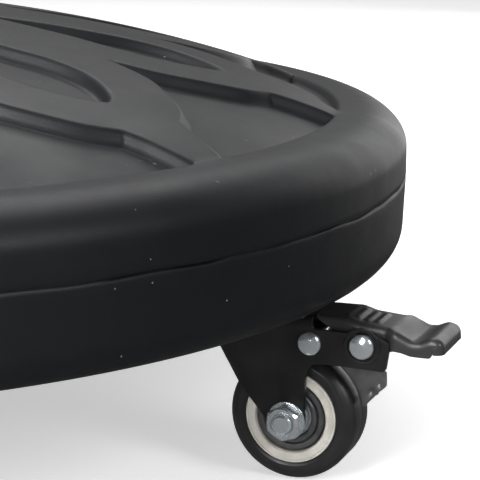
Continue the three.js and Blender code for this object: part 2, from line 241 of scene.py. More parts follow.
# ---- flat outlines ----
def arc(cx, cy, r, start, end, steps):
    angles = np.radians(np.linspace(start, end, steps + 1))
    return [(cx + r * math.cos(a), cy + r * math.sin(a)) for a in angles]


def rounded(points, closed=True, steps=5):
    """An outline from (x, y, radius) corners, each corner turned into an arc of that radius."""
    result = []
    count = len(points)
    for i, (x, y, radius) in enumerate(points):
        if radius <= 0 or (not closed and i in (0, count - 1)):
            result.append((x, y))
            continue
        corner = Vector((x, y))
        before = Vector(points[i - 1][:2]) - corner
        after = Vector(points[(i + 1) % count][:2]) - corner
        bend = before.angle(after)
        reach = min(radius / math.tan(bend / 2), before.length * 0.49, after.length * 0.49)
        start = corner + before.normalized() * reach
        end = corner + after.normalized() * reach
        for k in range(steps + 1):
            t = k / steps
            p = start * (1 - t) ** 2 + corner * 2 * t * (1 - t) + end * t * t
            result.append((p.x, p.y))
    return result


def resampled(points, step, closed=True):
    """The same outline with vertices about step apart, keeping its corners."""
    result = []
    ends = points[1:] + points[:1] if closed else points[1:]
    for (ax, ay), (bx, by) in zip(points, ends):
        parts = max(1, round(math.hypot(bx - ax, by - ay) / step))
        for k in range(parts):
            result.append((ax + (bx - ax) * k / parts, ay + (by - ay) * k / parts))
    if not closed:
        result.append(points[-1])
    return result


def signed_distance(points, outline):
    """Distance from each point to the closed outline, positive inside."""
    p = np.asarray(points, float)[:, None, :]
    a = np.asarray(outline, float)
    b = np.roll(a, -1, axis=0)
    edge = b - a
    t = np.clip(((p - a) * edge).sum(-1) / np.maximum((edge**2).sum(-1), 1e-12), 0, 1)
    gap = np.hypot(*np.moveaxis(p - (a + t[..., None] * edge), -1, 0)).min(1)
    x, y = p[..., 0], p[..., 1]
    crosses = (a[:, 1] > y) != (b[:, 1] > y)
    rise = np.where(np.abs(edge[:, 1]) < 1e-12, 1e-12, edge[:, 1])
    inside = (crosses & (x < a[:, 0] + (y - a[:, 1]) * edge[:, 0] / rise)).sum(1) % 2 == 1
    return np.where(inside, gap, -gap)


SLIVER = 1e-3


def triangulate(loops, extra=()):
    """Triangles filling the first loop less the others, with the extra points inside."""
    points, edges = [], []
    for loop in loops:
        first = len(points)
        points += [Vector(p) for p in loop]
        edges += [(first + i, first + (i + 1) % len(loop)) for i in range(len(loop))]
    points += [Vector(p) for p in extra]
    out, _, faces, *_ = delaunay_2d_cdt(points, edges, [], 0, 1e-7)
    flat = np.array([p[:] for p in out])
    faces = np.array([f for f in faces if len(f) == 3])
    middle = flat[faces].mean(1)
    sides = flat[faces[:, 1:]] - flat[faces[:, :1]]
    area = np.abs(sides[:, 0, 0] * sides[:, 1, 1] - sides[:, 0, 1] * sides[:, 1, 0]) / 2
    keep = (signed_distance(middle, loops[0]) > 0) & (area > SLIVER)
    for hole in loops[1:]:
        keep &= signed_distance(middle, hole) < 0
    return flat, faces[keep]


# ---- solids ----
def new_object(name, verts, faces, material, smooth_angle=35):
    mesh = bpy.data.meshes.new(name)
    points = [tuple(c * MM for c in v) for v in verts]
    mesh.from_pydata(points, [], [tuple(map(int, f)) for f in faces])
    work = bmesh.new()
    work.from_mesh(mesh)
    bmesh.ops.remove_doubles(work, verts=work.verts, dist=1e-7)
    loose = [v for v in work.verts if not v.link_faces]
    bmesh.ops.delete(work, geom=loose, context="VERTS")
    bmesh.ops.recalc_face_normals(work, faces=work.faces)
    work.to_mesh(mesh)
    work.free()
    mesh.shade_smooth()
    mesh.set_sharp_from_angle(angle=math.radians(smooth_angle))
    mesh.materials.append(FINISH[material])
    obj = bpy.data.objects.new(name, mesh)
    bpy.context.scene.collection.objects.link(obj)
    return obj


def bands(rows, steps):
    """The quads between rows of vertices, where each row goes once round."""
    faces = []
    for i in range(rows - 1):
        for k in range(steps):
            n = (k + 1) % steps
            faces.append((i * steps + k, i * steps + n, (i + 1) * steps + n, (i + 1) * steps + k))
    return faces


def turned(profile, steps=64, limit=None):
    """A body of revolution about Z, whose radius may be changed by limit as it goes round.

    Ends that lie on the axis close to a point. A closed ring repeats its first corner.
    """
    verts = []
    for r, z in profile:
        for k in range(steps):
            a = 2 * math.pi * k / steps
            radius = limit(r, a) if limit else r
            verts.append((radius * math.cos(a), radius * math.sin(a), z))
    return clean(verts, bands(len(profile), steps))


def clean(verts, faces):
    """Merges equal vertices and drops the faces that collapse."""
    keys, index, kept = {}, [], []
    for v in verts:
        key = tuple(round(c, 4) for c in v)
        if key not in keys:
            keys[key] = len(kept)
            kept.append(v)
        index.append(keys[key])
    result = []
    for face in faces:
        ids = list(dict.fromkeys(index[i] for i in face))
        if len(ids) > 2:
            result.append(ids)
    return kept, result


def ring_profile(corners):
    """A closed profile, for turned, from (radius, height, rounding) corners."""
    outline = rounded(corners)
    return outline + outline[:1]


def join(*parts):
    """One part from several, each a pair of vertices and faces."""
    verts, faces = [], []
    for v, f in parts:
        faces += [[i + len(verts) for i in face] for face in f]
        verts += list(v)
    return verts, faces


def moved(part, move):
    verts, faces = part
    return [tuple(move(*v)) for v in verts], faces


def shifted(part, dx=0.0, dy=0.0, dz=0.0):
    return moved(part, lambda x, y, z: (x + dx, y + dy, z + dz))


def sideways(part, x=TRAIL, z=AXLE_Z):
    """Lays a body made about Z along the caster's axle, its +Z end towards -Y."""
    return moved(part, lambda a, b, c: (x + a, -c, z + b))


def prism(outline, z0, z1, corner, sides=4):
    """An upright prism whose two rims are rounded by the corner radius."""
    low = [(z0 + corner * (1 - math.cos(t)), corner * (1 - math.sin(t)))
           for t in np.linspace(0, math.pi / 2, sides + 1)]
    levels = low + [(z0 + z1 - z, inset) for z, inset in reversed(low)]
    points = np.array(outline)
    tangent = np.roll(points, -1, axis=0) - np.roll(points, 1, axis=0)
    normal = np.stack([tangent[:, 1], -tangent[:, 0]], 1)
    normal /= np.maximum(np.linalg.norm(normal, axis=1), 1e-9)[:, None]
    if ((points - points.mean(axis=0)) * normal).sum() < 0:
        normal = -normal
    verts = [(x, y, z) for z, inset in levels for x, y in points - normal * inset]
    count = len(points)
    last = (len(levels) - 1) * count
    faces = bands(len(levels), count)
    faces += [list(range(count)), [last + k for k in range(count)]]
    return verts, faces


def sheet_metal(name, outline, holes, fold, thickness, material, step=1.6, edge=0.45):
    """A pressed steel piece: a flat pattern, folded into space, thickened, with worn edges."""
    loop = resampled(outline, step)
    loops = [loop, *holes]
    low, high = np.min(loop, axis=0), np.max(loop, axis=0)
    across, along = (np.arange(low[i], high[i], step) for i in (0, 1))
    inner = np.array([(x, y) for x in across for y in along])
    room = signed_distance(inner, loop) > step * 0.6
    for hole in holes:
        room &= signed_distance(inner, hole) < -step * 0.6
    flat, faces = triangulate(loops, inner[room])
    obj = new_object(name, [fold(a, b) for a, b in flat], faces, material, 50)
    solid = obj.modifiers.new("thickness", "SOLIDIFY")
    solid.thickness = thickness * MM
    solid.offset = 0
    bevel = obj.modifiers.new("worn_edges", "BEVEL")
    bevel.width = edge * MM
    bevel.segments = 3
    bevel.limit_method = "ANGLE"
    bevel.angle_limit = math.radians(60)
    return obj


def put(obj, body, slot, *nodes):
    """Puts the piece on its body and hides the CAD nodes that it stands for; the slot is not used.
    """
    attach(obj, body)
    if nodes:
        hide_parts(*nodes)
    return obj


def blend_step(value):
    t = np.clip(value, 0, 1)
    return t * t * (3 - 2 * t)


# ---- casing ----
PETAL_SHAPE = [(100, 0), (118, 6.5), (130, 10), (145, 13.5), (153, 16.5), (164, 18), (174.5, 17.5),
               (184, 14.5), (192.7, 9.5), (198, 5), (200.6, 0)]
PANEL_SHAPE = [(168, 0), (177, 0.9), (189, 2.2), (197, 4.0), (203, 5.4), (209.5, 6.9), (214.5, 8.2),
               (218.4, 9.7), (221.5, 11.1), (229.5, 12.0), (238, 12.6), (246, 13.2)]
RIM_WALL = 246.5
HALF = 180 / PETALS
SECTOR_STEPS = 16
TOP_EDGE = BASE_R - DRAFT_HIGH * (RIM_Z - ROLL_Z - PART_Z) - ROLL_R
WALL_FROM, WALL_TO = -0.7, 3.6
ROWS_START, ROWS_END = -2.6, 5.6
NEAR_WALL = 5.0
SEAM_DEPTH = 1.1
RING_STEPS = PETALS * 2 * SECTOR_STEPS


def dome_z(r):
    return RIM_Z + DOME_H * np.clip(1 - (np.asarray(r, float) / FIELD_R) ** 2, 0, 1) ** DOME_POWER


def polar(r, degrees):
    return r * math.cos(math.radians(degrees)), r * math.sin(math.radians(degrees))


def petal_outline():
    """The petal about the X axis, from its inner tip round and back, as a smooth loop."""
    along, width = np.array(PETAL_SHAPE, float).T
    t = np.linspace(0, 1, 60)
    knots = np.linspace(0, 1, len(along))
    x, y = np.interp(t, knots, along), np.interp(t, knots, width)
    upper = [(float(a), float(b)) for a, b in zip(relax(x), relax(y))]
    return upper + [(a, -b) for a, b in reversed(upper[1:-1])]


def relax(values, rounds=6):
    """Evens out a row of numbers, keeping both ends."""
    values = np.array(values, float)
    for _ in range(rounds):
        values[1:-1] = (values[:-2] + 2 * values[1:-1] + values[2:]) / 4
    return values


def panel_outline():
    """The recess between two arms, about the line halfway between two petals."""
    r, angle = np.array(PANEL_SHAPE, float).T
    corner = 8
    parts = []
    for part in (slice(0, corner + 1), slice(corner, None)):
        t = np.linspace(0, 1, 40)
        knots = np.linspace(0, 1, len(r[part]))
        rows = [relax(np.interp(t, knots, values[part])) for values in (r, angle)]
        parts.append(np.stack(rows, 1))
    side = np.concatenate([parts[0], parts[1][1:]])
    side = [polar(a, b) for a, b in side]
    rim = [polar(RIM_WALL, b) for b in np.linspace(PANEL_SHAPE[-1][1], -PANEL_SHAPE[-1][1], 31)]
    return side + rim + [(x, -y) for x, y in reversed(side[1:])]


def turn_about(points, degrees):
    c, s = math.cos(math.radians(degrees)), math.sin(math.radians(degrees))
    return [(x * c - y * s, x * s + y * c) for x, y in points]


def offset_rows(outline, spacing=2.0):
    """Rows of points along an outline, at the distances where the recess wall curves."""
    points = np.array(resampled(outline, spacing))
    tangent = np.roll(points, -1, axis=0) - np.roll(points, 1, axis=0)
    normal = np.stack([-tangent[:, 1], tangent[:, 0]], 1)
    normal /= np.maximum(np.linalg.norm(normal, axis=1), 1e-9)[:, None]
    rows = []
    for distance in (-1.6, -0.7, 0.1, 0.9, 1.8, 2.7, 3.6, 4.6):
        for sign in (1, -1):
            row = points + normal * distance * sign
            gap = signed_distance(row, outline)
            rows.append(row[np.abs(gap - distance) < 0.12])
    return np.concatenate(rows)


def top_field():
    """One half sector of the domed top, from a petal's axis to the next panel's axis."""
    outlines = [petal_outline(), turn_about(panel_outline(), HALF)]
    rows = np.concatenate([offset_rows(o) for o in outlines])
    lattice = []
    for i, r in enumerate(np.arange(PAD_R + 3, TOP_EDGE - 1, 3.0)):
        count = max(2, round(r * math.radians(HALF) / 3.2))
        for k in range(count):
            lattice.append(polar(r, HALF * (k + 0.5 * (1 + i % 2) % 1) / count))
    lattice = np.array(lattice)
    gap = np.max([signed_distance(lattice, o) for o in outlines], axis=0)
    inner = np.concatenate([rows, lattice[(gap > ROWS_END) | (gap < ROWS_START)]])
    radius = np.hypot(inner[:, 0], inner[:, 1])
    angle = np.degrees(np.arctan2(inner[:, 1], inner[:, 0]))
    room = np.radians(np.minimum(angle, HALF - angle)) * radius
    inner = inner[(room > 0.5) & (radius > PAD_R + 0.8) & (radius < TOP_EDGE - 0.5)]
    axis = np.arange(PAD_R, TOP_EDGE, 0.9)[1:]

    def spaced(angle):
        """Radii along one edge of the sector, close together where it crosses a recess wall."""
        gaps = [min(abs(signed_distance([polar(r, angle)], o)[0]) for o in outlines) for r in axis]
        return [r for i, r in enumerate(axis) if gaps[i] < NEAR_WALL or i % 3 == 0]

    first, last = spaced(0), spaced(HALF)
    angles = np.linspace(0, HALF, SECTOR_STEPS + 1)
    loop = [polar(PAD_R, 0)] + [polar(r, 0) for r in first] + [polar(TOP_EDGE, a) for a in angles]
    loop += [polar(r, HALF) for r in reversed(last)]
    loop += [polar(PAD_R, a) for a in reversed(angles[1:])]
    flat, faces = triangulate([loop], inner)
    depth = np.max([signed_distance(flat, o) for o in outlines], axis=0)
    sunk = RELIEF * blend_step((depth - WALL_FROM) / (WALL_TO - WALL_FROM))
    z = dome_z(np.hypot(flat[:, 0], flat[:, 1])) - sunk
    return np.column_stack([flat, z]), faces


def whole_top():
    """The half sector, mirrored and repeated round the whole top."""
    points, faces = top_field()
    verts, all_faces = [], []
    for i in range(PETALS):
        for mirror in (1, -1):
            c = math.cos(math.radians(PETAL_AZ + 2 * HALF * i))
            s = math.sin(math.radians(PETAL_AZ + 2 * HALF * i))
            x, y = points[:, 0], points[:, 1] * mirror
            first = len(verts)
            verts += list(zip(x * c - y * s, x * s + y * c, points[:, 2]))
            all_faces += [[first + a for a in face[::mirror]] for face in faces]
    return verts, all_faces


def side_profile():
    """From the inside of the foot round the outside to the rim, as (radius, height) rows."""
    low_r = BASE_R - DRAFT_LOW * (PART_Z - BASE_Z - FOOT_ROUND)
    high_r = TOP_EDGE + ROLL_R
    foot = arc(low_r - FOOT_ROUND, BASE_Z + FOOT_ROUND, FOOT_ROUND, -90, 0, 10)
    low = [(low_r + DRAFT_LOW * (z - BASE_Z - FOOT_ROUND), z)
           for z in np.arange(90, PART_Z - 1.5, 3)]
    seam = [(BASE_R - 0.1, PART_Z - 0.9), (BASE_R - 0.35, PART_Z - 0.45),
            (BASE_R - SEAM_DEPTH, PART_Z - 0.15), (BASE_R - SEAM_DEPTH, PART_Z + 0.15),
            (BASE_R - 0.25, PART_Z + 0.45), (BASE_R - 0.05, PART_Z + 1.0)]
    high = [(BASE_R - DRAFT_HIGH * (z - PART_Z), z)
            for z in np.arange(PART_Z + 2.5, RIM_Z - ROLL_Z, 3)]
    roll = []
    for k in range(17):
        a = math.pi / 2 * k / 16
        roll.append((high_r - ROLL_R + ROLL_R * math.cos(a), RIM_Z - ROLL_Z + ROLL_Z * math.sin(a)))
    return foot + low + seam + high + roll


def side_wall():
    """The wall with its parting line, which wanders, has a thin flash and is closed in places."""
    profile = side_profile()
    start = math.radians(PETAL_AZ)
    rng = np.random.default_rng(7)

    def smooth_noise(width):
        tripled = np.tile(rng.normal(0, 1, RING_STEPS), 3)
        return np.convolve(tripled, np.hanning(width), "same")[RING_STEPS:2 * RING_STEPS]

    wander, flash = smooth_noise(9), smooth_noise(4)
    closed = np.clip(0.4 + 0.35 * smooth_noise(7), 0, 0.85)
    verts = []
    for r, z in profile:
        near = math.exp(-(((z - PART_Z) / 1.2) ** 2))
        for k in range(RING_STEPS):
            a = start + 2 * math.pi * k / RING_STEPS
            rr = min(r + near * 0.06 * flash[k], BASE_R) if near > 0.01 else r
            if abs(z - PART_Z) < 0.5:
                rr += (BASE_R - 0.3 - rr) * closed[k]
            verts.append((rr * math.cos(a), rr * math.sin(a), z + near * 0.13 * wander[k]))
    return verts, bands(len(profile), RING_STEPS)


def caster_places():
    """Each caster's number, its angle in radians and its swivel axis."""
    for i in range(4):
        a = math.radians(CASTER_AZ + 90 * i)
        yield i + 1, a, (CASTER_R * math.cos(a), CASTER_R * math.sin(a))


def pocket(x, y, radius, depth, steps=24):
    """The wall and end of a round hole going up from the underside."""
    wall = [(radius, BASE_Z), (radius, BASE_Z + depth), (0, BASE_Z + depth)]
    return shifted(turned(wall, steps), x, y)


def underside():
    """The flat underside, with the filling hole and a pocket for each caster's stem."""
    outer_r = BASE_R - DRAFT_LOW * (PART_Z - BASE_Z - FOOT_ROUND) - FOOT_ROUND
    outer = arc(0, 0, outer_r, PETAL_AZ, PETAL_AZ + 360, RING_STEPS)[:-1]
    holes = [(FILL_X, 0, FILL_R, FILL_DEPTH)]
    holes += [(x, y, STEM_R + 0.8, STEM_DEPTH) for _, _, (x, y) in caster_places()]
    loops = [outer] + [arc(x, y, r, 0, 360, 24)[:-1] for x, y, r, _ in holes]
    grid = [(r * math.cos(a), r * math.sin(a)) for r in range(12, 255, 12)
            for a in np.linspace(0, 2 * math.pi, max(8, r // 3), endpoint=False)]
    grid = [(x, y) for x, y in grid
            if all(math.hypot(x - hx, y - hy) > hr + 4 for hx, hy, hr, _ in holes)]
    flat, faces = triangulate(loops, grid)
    plate = [(x, y, BASE_Z) for x, y in flat], [list(f) for f in faces]
    return join(plate, *[pocket(x, y, r, depth) for x, y, r, depth in holes])


def build_casing():
    pad_z = float(dome_z(PAD_R))
    rim = arc(0, 0, PAD_R, PETAL_AZ, PETAL_AZ + 360, RING_STEPS)[:-1]
    pad_faces = [(k, (k + 1) % RING_STEPS, RING_STEPS) for k in range(RING_STEPS)]
    pad = [(x, y, pad_z) for x, y in rim] + [(0.0, 0.0, pad_z)], pad_faces
    verts, faces = clean(*join(whole_top(), side_wall(), underside(), pad))
    put(new_object("casing_shell", verts, faces, "casing", 40), "base", "casing", "casing")


def build_plug():
    top, low = BASE_Z + 3.4, BASE_Z - 2.7
    under = BASE_Z - 0.35
    cap = rounded([(0, top, 0), (FILL_R - 0.4, top, 0.6), (FILL_R - 0.4, under, 0),
                   (24.8, under, 0.8), (24.8, low, 1.6), (17, low, 0.8),
                   (15.5, low + 1.6, 0.8), (0, low + 1.6, 0)], closed=False)
    corners = [(-15.4, -2), (15.4, -2), (15.4, 2), (-15.4, 2)]
    bar = prism(rounded([(x, y, 0.8) for x, y in corners]), low, low + 1.8, 0.5)
    plug = new_object("plug_cap", *shifted(turned(cap, 72), FILL_X), "black_plastic")
    put(plug, "base", "black_plastic", "fill_plug")
    grip = new_object("plug_grip", *shifted(bar, FILL_X), "black_plastic")
    put(grip, "base", "black_plastic")


# ---- standpipe ----
def hexagon(flat):
    """Limits a turned shape to a hexagon of that half width across its flats."""
    def limit(r, a):
        return min(r, flat / math.cos((a + math.pi / 6) % (math.pi / 3) - math.pi / 6))
    return limit


def hex_head(flat, height, dish=0.4):
    """A hexagon with a turned chamfer on its outer face, standing on Z = 0."""
    wide = flat / math.cos(math.pi / 6)
    profile = [(0, 0), (wide, 0), (wide, height - 1.3), (wide * 0.975, height - 0.8),
               (wide * 0.93, height - 0.4), (flat * 0.985, height - 0.08), (flat * 0.9, height),
               (flat * 0.6, height), (0, height - dish)]
    return turned(profile, 72, hexagon(flat))


def washer(inner, outer, z0, z1):
    corners = [(inner, z0, 0.15), (outer, z0, 0.3), (outer, z1, 0.3), (inner, z1, 0.15)]
    return turned(ring_profile(corners))


def thread(radius, z0, z1, pitch, depth=0.55, chamfer=0.8):
    """A screw's shank with turns of thread, from z0 up to a chamfered end at z1."""
    profile = [(0, z0)]
    for k in range(int((z1 - chamfer - z0) / pitch)):
        z = z0 + pitch * k
        profile += [(radius - depth, z), (radius, z + pitch * 0.4), (radius, z + pitch * 0.55)]
    profile += [(radius - depth, z1 - chamfer), (radius - depth - chamfer * 0.5, z1), (0, z1)]
    return turned(profile, 48)


SCREW_HOLE_R = 5.4


def build_standpipe():
    z0 = float(dome_z(PAD_R)) + 0.3
    top = z0 + FLANGE_T
    plate = ring_profile([(PIPE_R + 0.3, z0, 0), (FLANGE_R, z0, 0.8), (FLANGE_R, top, 1.6),
                          (PIPE_R + 4.2, top, 2.0), (PIPE_R + 0.3, top + 3.6, 0.8)])
    flange = new_object("flange_plate", *turned(plate, 128), "black_steel")
    put(flange, "base", "black_steel", "base_flange")
    for i in range(4):
        x, y = polar(FLANGE_BOLT_R, 45 + 90 * i)
        bolt = join(shifted(hex_head(6.5, 5.3), dz=1.6), washer(3.9, 9, 0, 1.6),
                    turned([(0, -34), (3.6, -34), (4, -33.4), (4, 1.8), (0, 1.8)], 32))
        screw = new_object(f"flange_screw_{i + 1}", *shifted(bolt, x, y, top + 0.05), "zinc")
        put(screw, "base", "zinc", f"flange_bolt_{i + 1}")
    middle_r = (PIPE_R + PIPE_BORE) / 2
    round_length = 2 * math.pi * middle_r
    wall = [(0, z0), (round_length, z0), (round_length, PIPE_TOP), (0, PIPE_TOP)]
    screw_hole = arc(round_length / 2, CLAMP_Z, SCREW_HOLE_R, 0, 360, 32)[:-1]

    def rolled(u, z):
        a = math.pi + u / middle_r
        return middle_r * math.cos(a), middle_r * math.sin(a), z

    pipe = sheet_metal("pipe_tube", wall, [screw_hole], rolled, PIPE_R - PIPE_BORE,
                       "black_steel", 3.0, 0.4)
    put(pipe, "base", "black_steel", "standpipe")
    lip = PIPE_TOP + 0.3
    foot = PIPE_TOP - 22
    sleeve = ring_profile([(24.6, foot, 0.5), (PIPE_BORE - 0.5, foot, 0.8),
                           (PIPE_BORE - 0.5, lip, 0), (PIPE_R + 2.5, lip, 0.5),
                           (PIPE_R + 2.5, lip + 4.5, 2.0), (24.6, lip + 4.5, 1.2)])
    insert = new_object("sleeve_insert", *turned(sleeve, 96), "black_plastic")
    put(insert, "base", "black_plastic", "reducer_sleeve")


def along_x(part):
    return moved(part, lambda x, y, z: (z, y, CLAMP_Z - x))


def build_clamp():
    boss = turned(ring_profile([(5.2, 28, 0), (9.5, 28, 0), (9.5, 43, 0.9), (5.2, 43, 0.5)]), 64)

    def seat(x, y, z):
        return (math.sqrt((PIPE_R + 0.05) ** 2 - y * y) if x < PIPE_R else x, y, z)

    boss = moved(along_x(boss), seat)
    put(new_object("clamp_socket", *boss, "black_steel"), "base", "black_steel", "clamp_boss")
    weld = ring_profile([(9.4, 29.5, 0), (12.2, 29.6, 0.8), (11.2, 31.2, 1), (9.4, 32.4, 0.5)])

    def hugging(x, y, z):
        return x - PIPE_R + math.sqrt(PIPE_R**2 - y * y), y, z

    bead = moved(along_x(turned(weld, 64)), hugging)
    put(new_object("clamp_weld", *bead, "black_steel"), "base", "black_steel")
    screw = along_x(thread(4.9, 29.8, 61, 1.5))
    put(new_object("clamp_thread", *screw, "zinc"), "clamp_knob_body", "zinc", "clamp_screw")

    def lobes(r, a):
        return r + 1.8 * (r / 20.5) ** 4 * math.cos(6 * a)

    grip = rounded([(5.2, 49.8, 0.3), (11, 49.8, 0.8), (11.5, 52.5, 1.2), (20.3, 52.5, 3),
                    (20.5, 67.6, 4), (15, 67.9, 2), (13, 66.6, 1), (0, 66.6, 0)], closed=False)
    grip = [(0, 61.4), (5.2, 61.4), *grip]
    knob = new_object("knob_grip", *along_x(turned(grip, 144, lobes)), "black_plastic")
    put(knob, "clamp_knob_body", "black_plastic", "clamp_knob")


def finish_cad_nodes():
    """New materials for the two CAD nodes that stay."""
    for node, material in (("clamp_pad", "zinc"), ("concrete_core", "concrete")):
        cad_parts[node].data.materials.clear()
        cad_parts[node].data.materials.append(FINISH[material])


# ---- casters ----
# Each is made once about its own swivel axis, trailing along +X, and copied to its four places.
BEND = 3.2
FOLD_END = LEG_MID - BEND + BEND * math.pi / 2 + CROWN_MID - BEND
FORK_BOSS = 6.6


def leg(x, z, radius=0.0):
    """A corner on a fork leg, in the flat pattern, for the corner's real place beside the wheel."""
    return x, FOLD_END - z, radius


def fork_outline(braked):
    crown = [(x, y, 0) for x, y in arc(0, 0, 18.5, 180, 144, 6)]
    front = [leg(-13.8, 61, 4), leg(-8.4, 52.2, 12), leg(0.8, 36.8, 16)]
    boss = [(x, y, 0) for x, y in arc(TRAIL, FOLD_END - AXLE_Z, FORK_BOSS, 145, 0, 12)]
    arm = [leg(26.8, 43, 3), leg(28.6, 48.1, 5), leg(36, 48.6, 6), leg(57.6, 48.3, 1.6),
           leg(59, 59.2, 1.6), leg(54.2, 61.5, 3), leg(29, 61.4, 1)]
    plain = [leg(26.6, 33, 8), leg(24.5, 46, 10), leg(18.2, 59, 8)]
    end = [(x, y, 0) for x, y in arc(0, 0, 18.5, 36, 0, 6)]
    if braked:
        end = [(28, 11, 2), (28, 0, 0)]
    half = rounded(crown + front + boss + (arm if braked else plain) + end, closed=False)
    return half + [(x, -y) for x, y in reversed(half[1:-1])]


def fork_fold(x, s):
    reach = abs(s)
    flat = LEG_MID - BEND
    if reach <= flat:
        return x, s, CROWN_MID
    turn = min((reach - flat) / BEND, math.pi / 2)
    y = flat + BEND * math.sin(turn)
    z = CROWN_MID - BEND * (1 - math.cos(turn)) - max(0, reach - flat - BEND * math.pi / 2)
    inward = ((x + 8.4) * 15.4 + (z - 52.2) * 9.2) / 17.9
    if z < 60:
        y -= 1.3 * math.exp(-max(0, inward) / 2.2) * min(1, (60 - z) / 8)
    return x, math.copysign(y, s), z


def build_fork(braked):
    outline = fork_outline(braked)
    holes = [arc(0, 0, STEM_R + 0.5, 0, 360, 24)[:-1]]
    for side in (-1, 1):
        holes.append(arc(TRAIL, side * (FOLD_END - AXLE_Z), 4.3, 0, 360, 20)[:-1])
    return sheet_metal("fork", outline, holes, fork_fold, SHEET, "black_steel", 1.3)


PEDAL_PATH = [(29, 65.3, 0), (41.3, 65.6, 4), (46.7, 64.1, 6), (59.5, 63.1, 8),
              (66.7, 60.0, 4), (70.2, 60.2, 3), (74.2, 62.0, 3), (77.8, 61.2, 3), (78.2, 56.4, 0)]
PEDAL_X = [29, 36, 42, 48, 54, 60, 63, 66.5, 70, 74, 77, 79]
PEDAL_LOW = [65, 62, 54.4, 51.9, 52.9, 56.4, 56.2, 55.3, 55.2, 55.3, 56.4, 58]
PEDAL_BEND = 1.5
TIP_CORNER = 3.0
GRIP_RIBS = (11, 15, 19, 23)


def pedal_half(x):
    """Half the width between the pedal's folded sides."""
    return 11.4 + 2.3 * float(blend_step((x - 56.5) / 4))


def pedal_line():
    points = np.array(resampled(rounded(PEDAL_PATH, closed=False, steps=10), 0.5, closed=False))
    along = np.concatenate([[0], np.cumsum(np.hypot(*np.diff(points, axis=0).T))])
    return along, points[:, 0], points[:, 1]


def build_pedal():
    along, xs, zs = pedal_line()
    total = along[-1]
    lean = np.arctan2(np.gradient(zs), np.gradient(xs))

    def section(p):
        """Where the top is at p, how far the side hangs from it, and the way it hangs."""
        x, z = float(np.interp(p, along, xs)), float(np.interp(p, along, zs))
        tip = float(blend_step((p - total + 8.6) / 3.4))
        tilt = tip * float(np.interp(p, along, lean))
        low = float(np.interp(x, PEDAL_X, PEDAL_LOW))
        drop = (1 - tip) * max(0.0, z - low) + tip * TIP_CORNER
        return x, z, drop, (math.sin(tilt), -math.cos(tilt))

    upper = []
    for p in np.arange(0, total + 0.01, 0.7):
        x, _, drop, _ = section(p)
        curl = PEDAL_BEND * (math.pi / 2 - 1) + drop if drop > PEDAL_BEND else drop * math.pi / 2
        upper.append((float(p), pedal_half(x) - PEDAL_BEND + curl))
    outline = upper + [(p, -w) for p, w in reversed(upper)]

    def fold(p, w):
        x, z, _, down = section(p)
        flat = pedal_half(x) - PEDAL_BEND
        reach = abs(w)
        if reach <= flat:
            sag = 0.8 * math.exp(-(((x - 67) / 5) ** 2)) * (1 - (reach / 14) ** 2)
            rib = sum(math.exp(-(((p - q) / 0.8) ** 2)) for q in GRIP_RIBS)
            return x, w, z - sag + 0.5 * rib * float(blend_step((flat - 2 - reach) / 1.5))
        turn = min((reach - flat) / PEDAL_BEND, math.pi / 2)
        y = flat + PEDAL_BEND * math.sin(turn)
        drop = PEDAL_BEND * (1 - math.cos(turn)) + max(0, reach - flat - PEDAL_BEND * math.pi / 2)
        return x + down[0] * drop, math.copysign(y, w), z + down[1] * drop

    return sheet_metal("pedal", outline, [], fold, 1.7, "pedal", 0.9, 0.3)


SOLE_R = 28.5
SHOE_HALF = 8.1
SHOE_BEND = 1.3
SHOE_ANGLES = [14, 17, 19.6, 20.4, 22, 23.4, 30.6, 35, 40, 48, 56, 64, 70, 76, 80]
SHOE_DEEP = [0.9, 2.6, 4.4, 6.0, 8.4, 11.2, 13.6, 12.0, 9.4, 6.8, 6.2, 6.4, 7.2, 7.2, 5.2]
SHOE_DENTS = [(50.8, 38.5), (53.8, 41.8)]


def build_shoe():
    flat = SHOE_HALF - SHOE_BEND
    curl = SHOE_BEND * math.pi / 2

    def path(degrees):
        return SOLE_R * math.radians(degrees)

    rim = []
    for angle in np.arange(14, 80.1, 1.1):
        deep = float(np.interp(angle, SHOE_ANGLES, SHOE_DEEP))
        rim.append((path(angle), flat + curl + deep - SHOE_BEND))
    ear = [(path(80), flat + curl + 0.6), (path(71), flat + curl + 0.2), (path(69.5), flat)]
    far = [(p, min(w, flat + curl + 3.5 - SHOE_BEND)) for p, w in rim] + ear
    outline = far + [(p, -w) for p, w in reversed(rim + ear)]

    def fold(p, w):
        angle = p / SOLE_R
        reach = abs(w)
        turn = min(max(0, (reach - flat) / SHOE_BEND), math.pi / 2)
        y = min(reach, flat) + SHOE_BEND * math.sin(turn)
        r = SOLE_R + SHOE_BEND * (1 - math.cos(turn)) + max(0, reach - flat - curl)
        x, z = TRAIL + r * math.cos(angle), AXLE_Z + r * math.sin(angle)
        if reach > flat + curl:
            y -= sum(0.9 * math.exp(-((x - u) ** 2 + (z - v) ** 2) / 1.3) for u, v in SHOE_DENTS)
        return x, math.copysign(y, w), z

    return sheet_metal("shoe", outline, [], fold, 1.5, "hub_grey", 0.8, 0.35)


def swept(path, radius, sides=10):
    """A round wire along a path of points."""
    points = [Vector(p) for p in path]
    verts = []
    side = None
    for i, point in enumerate(points):
        ahead = (points[min(i + 1, len(points) - 1)] - points[max(i - 1, 0)]).normalized()
        if side is None:
            side = ahead.orthogonal().normalized()
        side = (side - ahead * side.dot(ahead)).normalized()
        other = ahead.cross(side)
        for k in range(sides):
            a = 2 * math.pi * k / sides
            verts.append(tuple(point + side * radius * math.cos(a) + other * radius * math.sin(a)))
    faces = bands(len(points), sides)
    faces.append(list(range(sides)))
    faces.append([(len(points) - 1) * sides + k for k in range(sides)])
    return verts, faces


